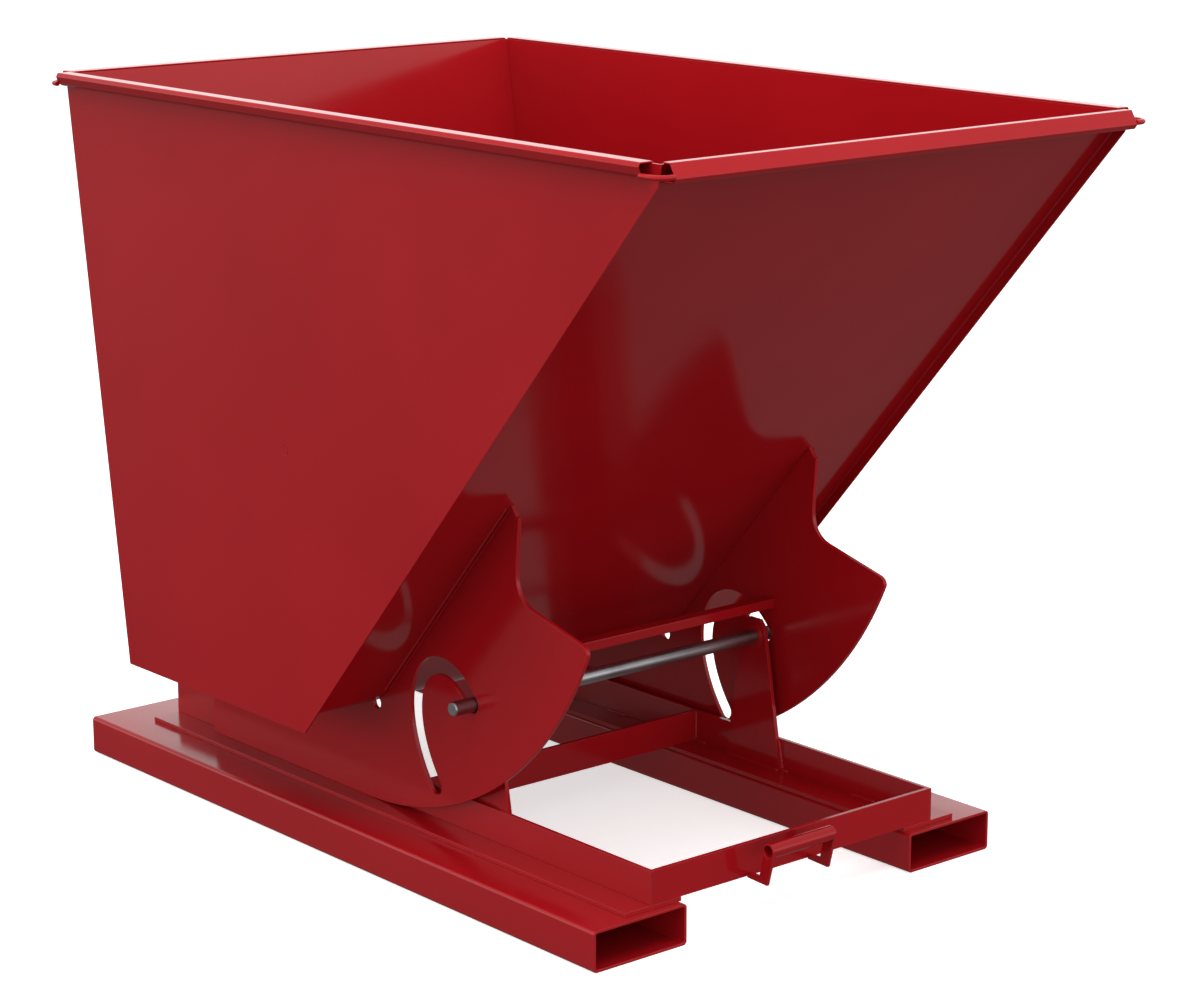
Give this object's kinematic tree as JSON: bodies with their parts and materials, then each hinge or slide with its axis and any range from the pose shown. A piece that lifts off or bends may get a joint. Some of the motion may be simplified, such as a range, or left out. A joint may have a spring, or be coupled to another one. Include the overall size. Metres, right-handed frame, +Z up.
{
  "type": "self-dumping forklift hopper",
  "caption": "Open steel bin on curved rocker plates that rolls forward over a fork-tube base to dump, guided by a fixed cross shaft in cane-shaped slots.",
  "frame": {"origin": "on the floor, in the middle of the overall length and width", "axes": "+Z up; X is left to right across the two fork tubes; the bin tips toward -Y and the forks lie along Y"},
  "size_m": [1.083, 1.7528, 1.334],
  "materials": {
    "red_paint": "deep glossy red paint",
    "bare_steel": "drawn bar, dark and lightly oiled",
    "zinc_steel": "zinc plated",
    "black_rubber": "matt hand grip"
  },
  "bodies": {
    "base": {"left_fork_tube": "red_paint", "right_fork_tube": "red_paint", "left_track_plate": "red_paint", "right_track_plate": "red_paint", "left_guide_flange": "red_paint", "right_guide_flange": "red_paint", "front_cross_bar": "red_paint", "middle_cross_bar": "red_paint", "rear_cross_bar": "red_paint", "left_shaft_post": "red_paint", "right_shaft_post": "red_paint", "left_shaft_collar": "red_paint", "right_shaft_collar": "red_paint", "pivot_shaft": "bare_steel", "front_lug_pipe": "red_paint", "left_lug_gusset": "red_paint", "right_lug_gusset": "red_paint", "left_latch_ear": "red_paint", "right_latch_ear": "red_paint", "latch_pin": "zinc_steel"},
    "latch": {"latch_hook": "red_paint", "latch_handle": "bare_steel", "handle_grip": "black_rubber"},
    "bin": {"left_side_panel": "red_paint", "right_side_panel": "red_paint", "floor_sheet": "red_paint", "slope_sheet": "red_paint", "back_sheet": "red_paint", "left_rim": "red_paint", "right_rim": "red_paint", "front_rim": "red_paint", "back_rim": "red_paint", "front_left_corner_rod": "red_paint", "front_right_corner_rod": "red_paint", "back_left_corner_rod": "red_paint", "back_right_corner_rod": "red_paint", "left_rocker": "red_paint", "right_rocker": "red_paint", "rocker_tie_bar": "red_paint", "left_keeper_lug": "red_paint", "right_keeper_lug": "red_paint", "keeper_bar": "zinc_steel"},
    "roll_carriage": {"left_centre_plug": "red_paint", "right_centre_plug": "red_paint"}
  },
  "joints": [
    {"name": "roll_travel", "type": "slide", "parent": "base", "child": "roll_carriage", "axis": [0, -1, 0], "range_m": [0, 0.7142]},
    {"name": "bin_tilt", "type": "hinge", "parent": "roll_carriage", "child": "bin", "pos_m": [0, 0.121, 0.74], "axis": [1, 0, 0], "range_deg": [0, 62]},
    {"name": "latch_swing", "type": "hinge", "parent": "base", "child": "latch", "pos_m": [0, 0.727, 0.185], "axis": [1, 0, 0], "range_deg": [0, 24]}
  ],
  "couplings": [
    {"joint": "roll_travel", "follows": "bin_tilt", "m_per_rad": 0.66}
  ]
}
